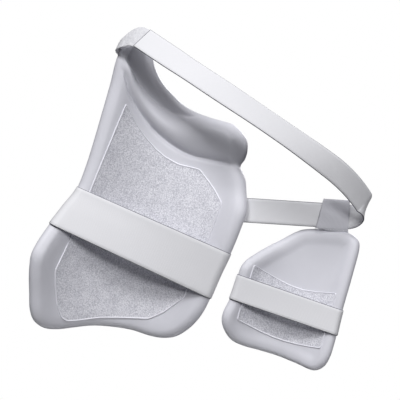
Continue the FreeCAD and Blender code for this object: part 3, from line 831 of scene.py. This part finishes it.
def belt_route():
    """From the outer guard's outer face, through the sleeve, round the bend, to the near side and the tip."""
    ax, ay = outer.axis
    a = math.radians(BELT_START_ANGLE)
    radius = BELT_FACE_RADIUS
    start = (ax + radius * math.sin(a), ay + radius * math.cos(a))
    route = Route(*start, -BELT_START_ANGLE, BELT_START_Z, BELT_SLOPE)
    route.go(radius * math.radians(BELT_FACE_TURN), -BELT_FACE_TURN, BELT_SLOPE, BELT_SLOPE)
    back = BELT_START_ANGLE + BELT_FACE_TURN
    route.go(BELT_LEAVE_RADIUS * math.radians(back), back, BELT_SLOPE, BELT_SLOPE)
    route.go(STRAIGHT_END_X - route.x, 0.0, BELT_SLOPE, BELT_SLOPE)
    route.mark("bend")
    half = BEND_TURN / 2
    route.go(BEND_RADIUS * math.radians(half), -half, BELT_SLOPE, BEND_SLOPE, 1.0)
    route.go(BEND_RADIUS * math.radians(half), -half, BEND_SLOPE, NEAR_START_SLOPE, 1.0)
    route.mark("near")
    wrap, bend = BELT_FACE_RADIUS + TAB_UNDER, TIP_RADIUS + TAB_UNDER
    b, t = math.radians(TIP_ANGLE), math.radians(TIP_HEADING)
    leave = (ax - wrap * math.sin(b), ay + wrap * math.cos(b))
    centre_x = leave[0] - TAB_STRAIGHT * math.cos(b) + bend * math.sin(b)
    centre_y = leave[1] - TAB_STRAIGHT * math.sin(b) - bend * math.cos(b)
    dx = centre_x - bend * math.sin(t) - route.x
    dy = centre_y + bend * math.cos(t) - route.y
    chord = math.hypot(dx, dy)
    turn = 2 * ((math.degrees(math.atan2(dy, dx)) % 360 - 360) - route.heading)
    radius = chord / 2 / math.sin(math.radians(abs(turn) / 2))
    whole = radius * math.radians(abs(turn))
    per = -math.degrees(1 / radius)
    steady = whole - (NEAR_SLOPE_LENGTH + BELT_END_LENGTH + TAB_FREE_LENGTH)
    route.go(NEAR_SLOPE_LENGTH, NEAR_SLOPE_LENGTH * per, NEAR_START_SLOPE, NEAR_SLOPE)
    route.go(steady, steady * per, NEAR_SLOPE, NEAR_SLOPE)
    route.mark("peel")
    route.go(BELT_END_LENGTH - 1, (BELT_END_LENGTH - 1) * per, NEAR_SLOPE, NEAR_SLOPE)
    route.go(1, per, NEAR_SLOPE, NEAR_SLOPE, 1.0)
    route.mark("free")
    route.go(TAB_FREE_LENGTH, TAB_FREE_LENGTH * per, NEAR_SLOPE, TAB_FREE_SLOPE, 1.0)
    route.mark("tip")
    turn = -((route.heading % 360) - TIP_ANGLE)
    route.go(bend * math.radians(abs(turn)), turn, TAB_FREE_SLOPE, TAB_WRAP_SLOPE, 1.0)
    route.mark("wrap")
    route.go(TAB_STRAIGHT, 0.0, TAB_WRAP_SLOPE, TAB_WRAP_SLOPE)
    route.go(wrap * math.radians(TAB_FACE_TURN), -TAB_FACE_TURN, TAB_WRAP_SLOPE, TAB_END_SLOPE)
    return route


route = belt_route()
stations = np.array(route.rows)
BELT_LEAN = table([(-240, 12), (-215, 18), (-190, 26), (-145, 25), (-113, 28), (-60, 24), (0, 25),
                   (60, 19), (92, 10), (130, 0), (200, 0)])


def leans():
    """How far each station leans back at its top, in degrees: on the near side only, fading round the tip."""
    lean = np.array([float(BELT_LEAN(x)) for x in stations[:, 0]])
    lean[: route.marks["near"]] = 0.0
    first, last = route.marks["tip"], route.marks["wrap"]
    fade = 1 - ease((np.arange(len(lean)) - first) / (last - first))
    return lean * fade


LEAN = leans()


def ribbon_frame(k, offset):
    """A station's middle and its downward direction, both leaned."""
    x, y, heading, z, slope = stations[k]
    h, s, lean = math.radians(heading), math.radians(slope), math.radians(LEAN[k])
    out = np.array([-math.sin(h), math.cos(h), 0])
    along = np.array([math.cos(h) * math.cos(s), math.sin(h) * math.cos(s), math.sin(s)])
    across = np.cross(out, along)
    down = across * math.cos(lean) + out * math.sin(lean)
    outward = out * math.cos(lean) - across * math.sin(lean)
    return np.array([x, y, z]) + outward * offset, down


def ribbon(first, last, width, offset=0.0, across_count=11, cuts=None):
    """The middle surface of a band along the stations. cuts(k) is what comes off its top and bottom edges."""
    lines = []
    for k in range(first, last + 1):
        middle, down = ribbon_frame(k, offset)
        top, bottom = cuts(k) if cuts else (0.0, 0.0)
        lines.append(middle + down * np.linspace(top - width / 2, width / 2 - bottom, across_count)[:, None])
    return np.stack(lines)


BEND_GATHER = (2.0, 3.5)  # off the top and the bottom edge, halfway round the bend
HOOK_THICKNESS = 0.8
TAB_THICKNESS = 2.0
TAB_SHOULDER = 18.0
TAB_NARROWING = 3.0


def belt_cuts(k):
    """The webbing gathers a little where it goes round the bend."""
    first, last = route.marks["bend"], route.marks["near"]
    gathered = math.sin(math.pi * float(np.clip((k - first) / (last - first), 0, 1)))
    return BEND_GATHER[0] * gathered, BEND_GATHER[1] * gathered


def tab_cuts(k):
    """The tab's top corner is rounded off where it goes round the tip. Behind the belt it is narrower."""
    past = k - route.marks["free"]
    return TAB_SHOULDER * float(ease((past - 10) / 34.0)), TAB_NARROWING * float(ease(-past / 3.0))


belt_surface = ribbon(0, route.marks["free"], BELT_WIDTH, cuts=belt_cuts)
# The belt's last strip takes the near-black painted shade line where its end lies on the tab.
belt = band("waist_webbing", belt_surface, WEB, WEBBING, shaded_end=True)
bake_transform(belt)
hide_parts("waist_belt", "belt_peeling_end")

hook_surface = ribbon(route.marks["peel"] + 4, route.marks["free"] - 1, BELT_WIDTH - 4,
                      -(WEB + HOOK_THICKNESS) / 2)
hooks = band("belt_hooks", hook_surface, HOOK_THICKNESS, HOOKS)
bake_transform(hooks)
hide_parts("belt_hook_tape")

tab_surface = ribbon(route.marks["peel"] + 1, len(stations) - 1, BELT_WIDTH, -TAB_UNDER, 19, tab_cuts)
tab = band("belt_brushed_tab", tab_surface, TAB_THICKNESS, PILE, rough=0.22)
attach(tab, ROOT)
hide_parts("belt_loop_tab")


# --- hanger sleeve ------------------------------------------------------------------------------------------

ALONG = np.array([math.cos(math.radians(BELT_SLOPE)), 0, math.sin(math.radians(BELT_SLOPE))])
DOWN = np.array([math.sin(math.radians(BELT_SLOPE)), 0, -math.cos(math.radians(BELT_SLOPE))])
SLEEVE_LEFT_X = 131.0


def sleeve_point(w, v, depth):
    """A point w along the belt from the sleeve's left end, v below the belt's middle, depth behind it."""
    x, y, _, z, _ = stations[route.marks["bend"]]
    start = np.array([x, y, z]) - ALONG * (STRAIGHT_END_X - SLEEVE_LEFT_X) / ALONG[0]
    return start + ALONG * w + DOWN * v + np.array([0, depth, 0])


def hanger_sleeve():
    """One strip of fabric folded over the belt and sewn below it. Its tails go into the inner guard's top."""
    fold = [(31, 3.2), (27, 1.4), (23.5, -0.4), (20.5, -1.5), (18, -2.3), (10, -2.5), (0, -2.6),
            (-10, -2.5), (-17, -2.3), (-20.5, -1.9), (-22.8, -1.1), (-23.5, 0), (-22.8, 1.1),
            (-20.5, 1.9), (-17, 2.3), (-10, 2.5), (0, 2.6), (10, 2.5), (18, 2.3), (20.5, 1.7),
            (23.5, 1.3), (27, 2.9), (31, 4.6)]
    line = through(fold, closed=False, per=4)
    rows = []
    tail_from = 19.0
    for v, depth in line:
        left = 5.0 - (min(v, 25) + 23.5) * 0.2
        right = 42.5 + 2.0 * ease((v - tail_from) / 10)
        row = []
        for w in np.linspace(left, right, 25):
            tail = max(v - tail_from, 0.0) * float(np.clip(w / 30, 0.02, 1.0))
            row.append(sleeve_point(w, min(v, tail_from) + tail, depth))
        rows.append(row)
    # The sleeve's darker cloth is painted shade.
    sleeve = band("hanger_sleeve", np.array(rows), 1.2, PAINTED_SHADE_SLEEVE_CLOTH)
    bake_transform(sleeve)
    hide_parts("belt_sleeve", "inner_guard_hanger_tongue")

    def on_seam(u, w):
        return sleeve_point(u, 20.2 + w, -1.9), np.array([0, -1.0, 0])

    stitches("sleeve_seam", on_seam, [((-1, 0), (44.5, 0))], 0.5, "sleeve", 2.4, 1.8, 0.25)


hanger_sleeve()


# --- hook and loop tapes keep their CAD shape and take a finish ---------------------------------------------


def dress(node, material):
    """Gives a CAD node's own object a material."""
    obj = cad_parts[node]
    obj.data.materials.clear()
    obj.data.materials.append(material)


for side in ("outer", "inner"):
    dress(side + "_strap_hook_tape", HOOKS)
    dress(side + "_strap_loop_tape", PILE)
dress("belt_tab_sewn_patch", PATCH)


# --- stage, light and camera --------------------------------------------------------------------------------

FLOOR_RADIUS = 1.0  # metres
FLOOR_Z = -1.8
FLOOR_SIDES = 96
FILL = 0.03  # strength of the world's own light
LIGHT_TARGET = (-0.04, 0.0, -0.1)
LIGHT_DISTANCE = 4.5
LIGHTS = [  # name, degrees to the right of the view, degrees up, side in metres, watts
    ("left", -43, 37, 1.2, 152.0),
    ("right", 20, 21, 1.2, 98.0),
    ("top", -18, 66, 1.2, 50.0),
    ("behind", 160, 30, 1.6, 150.0),
]


def build_stage():
    """A small pale round floor, low enough to throw little light up on the guards."""
    turns = np.linspace(0, 2 * math.pi, FLOOR_SIDES, endpoint=False)
    rim = [(FLOOR_RADIUS * math.cos(a), FLOOR_RADIUS * math.sin(a), FLOOR_Z) for a in turns]
    mesh = bpy.data.meshes.new("floor")
    mesh.from_pydata(rim, [], [tuple(range(FLOOR_SIDES))])
    floor = bpy.data.objects.new("floor", mesh)
    bpy.context.scene.collection.objects.link(floor)
    paint = Paint("pale_floor", roughness=0.9)
    stops = [(0.0, (0.93, 0.93, 0.93)), (1.0, (0.96, 0.96, 0.96))]
    colour = paint.ramp(paint.noise(paint.place(), 3.0), stops)
    mesh.materials.append(paint.finish(colour))


VIEW_DISTANCE = 2.4
CAMERA_AT = (-0.040, 0.060 - VIEW_DISTANCE, -0.106)
CAMERA_ROLL = math.atan2(0.3256, 0.9455)  # about 19 degrees
VIEW_WIDTH = 0.58  # metres across the picture at that distance
SENSOR = 36.0


def area_light(name, at, towards, side, power):
    data = bpy.data.lights.new(name, "AREA")
    data.size = side
    data.energy = power
    obj = bpy.data.objects.new(name, data)
    obj.location = at
    aim = np.array(towards, float) - np.array(at, float)
    obj.rotation_euler = Vector(aim).to_track_quat("-Z", "Y").to_euler()
    bpy.context.scene.collection.objects.link(obj)


def build_light():
    """A white studio. The backdrop looks white and gives only a little fill. Soft lights give the rest."""
    world = bpy.data.worlds.new("studio")
    world.use_nodes = True
    tree = world.node_tree
    back = tree.nodes["Background"]
    back.inputs["Color"].default_value = (0.86, 0.88, 1.0, 1)
    back.inputs["Strength"].default_value = FILL
    white = tree.nodes.new("ShaderNodeBackground")
    white.inputs["Strength"].default_value = 1.0
    white.inputs["Color"].default_value = (1, 1, 1, 1)
    path = tree.nodes.new("ShaderNodeLightPath")
    mix = tree.nodes.new("ShaderNodeMixShader")
    tree.links.new(path.outputs["Is Camera Ray"], mix.inputs[0])
    tree.links.new(back.outputs[0], mix.inputs[1])
    tree.links.new(white.outputs[0], mix.inputs[2])
    tree.links.new(mix.outputs[0], tree.nodes["World Output"].inputs["Surface"])
    bpy.context.scene.world = world
    for name, azimuth, elevation, side, watts in LIGHTS:
        a, e = math.radians(azimuth), math.radians(elevation)
        away = np.array([math.sin(a) * math.cos(e), -math.cos(a) * math.cos(e), math.sin(e)])
        area_light(name, LIGHT_TARGET + away * LIGHT_DISTANCE, LIGHT_TARGET, side, watts)


def build_camera():
    data = bpy.data.cameras.new("camera")
    data.sensor_width = SENSOR
    data.lens = SENSOR * VIEW_DISTANCE / VIEW_WIDTH
    data.clip_end = 60.0
    camera = bpy.data.objects.new("camera", data)
    tilt = CAMERA_ROLL
    right = (math.cos(tilt), 0, math.sin(tilt))
    up = (-math.sin(tilt), 0, math.cos(tilt))
    back = (0, -1, 0)
    turn = Matrix((right, up, back)).transposed().to_4x4()
    turn.translation = CAMERA_AT
    camera.matrix_world = turn
    bpy.context.scene.collection.objects.link(camera)
    bpy.context.scene.camera = camera


build_stage()
build_light()
build_camera()
bpy.context.scene.view_settings.view_transform = "Standard"
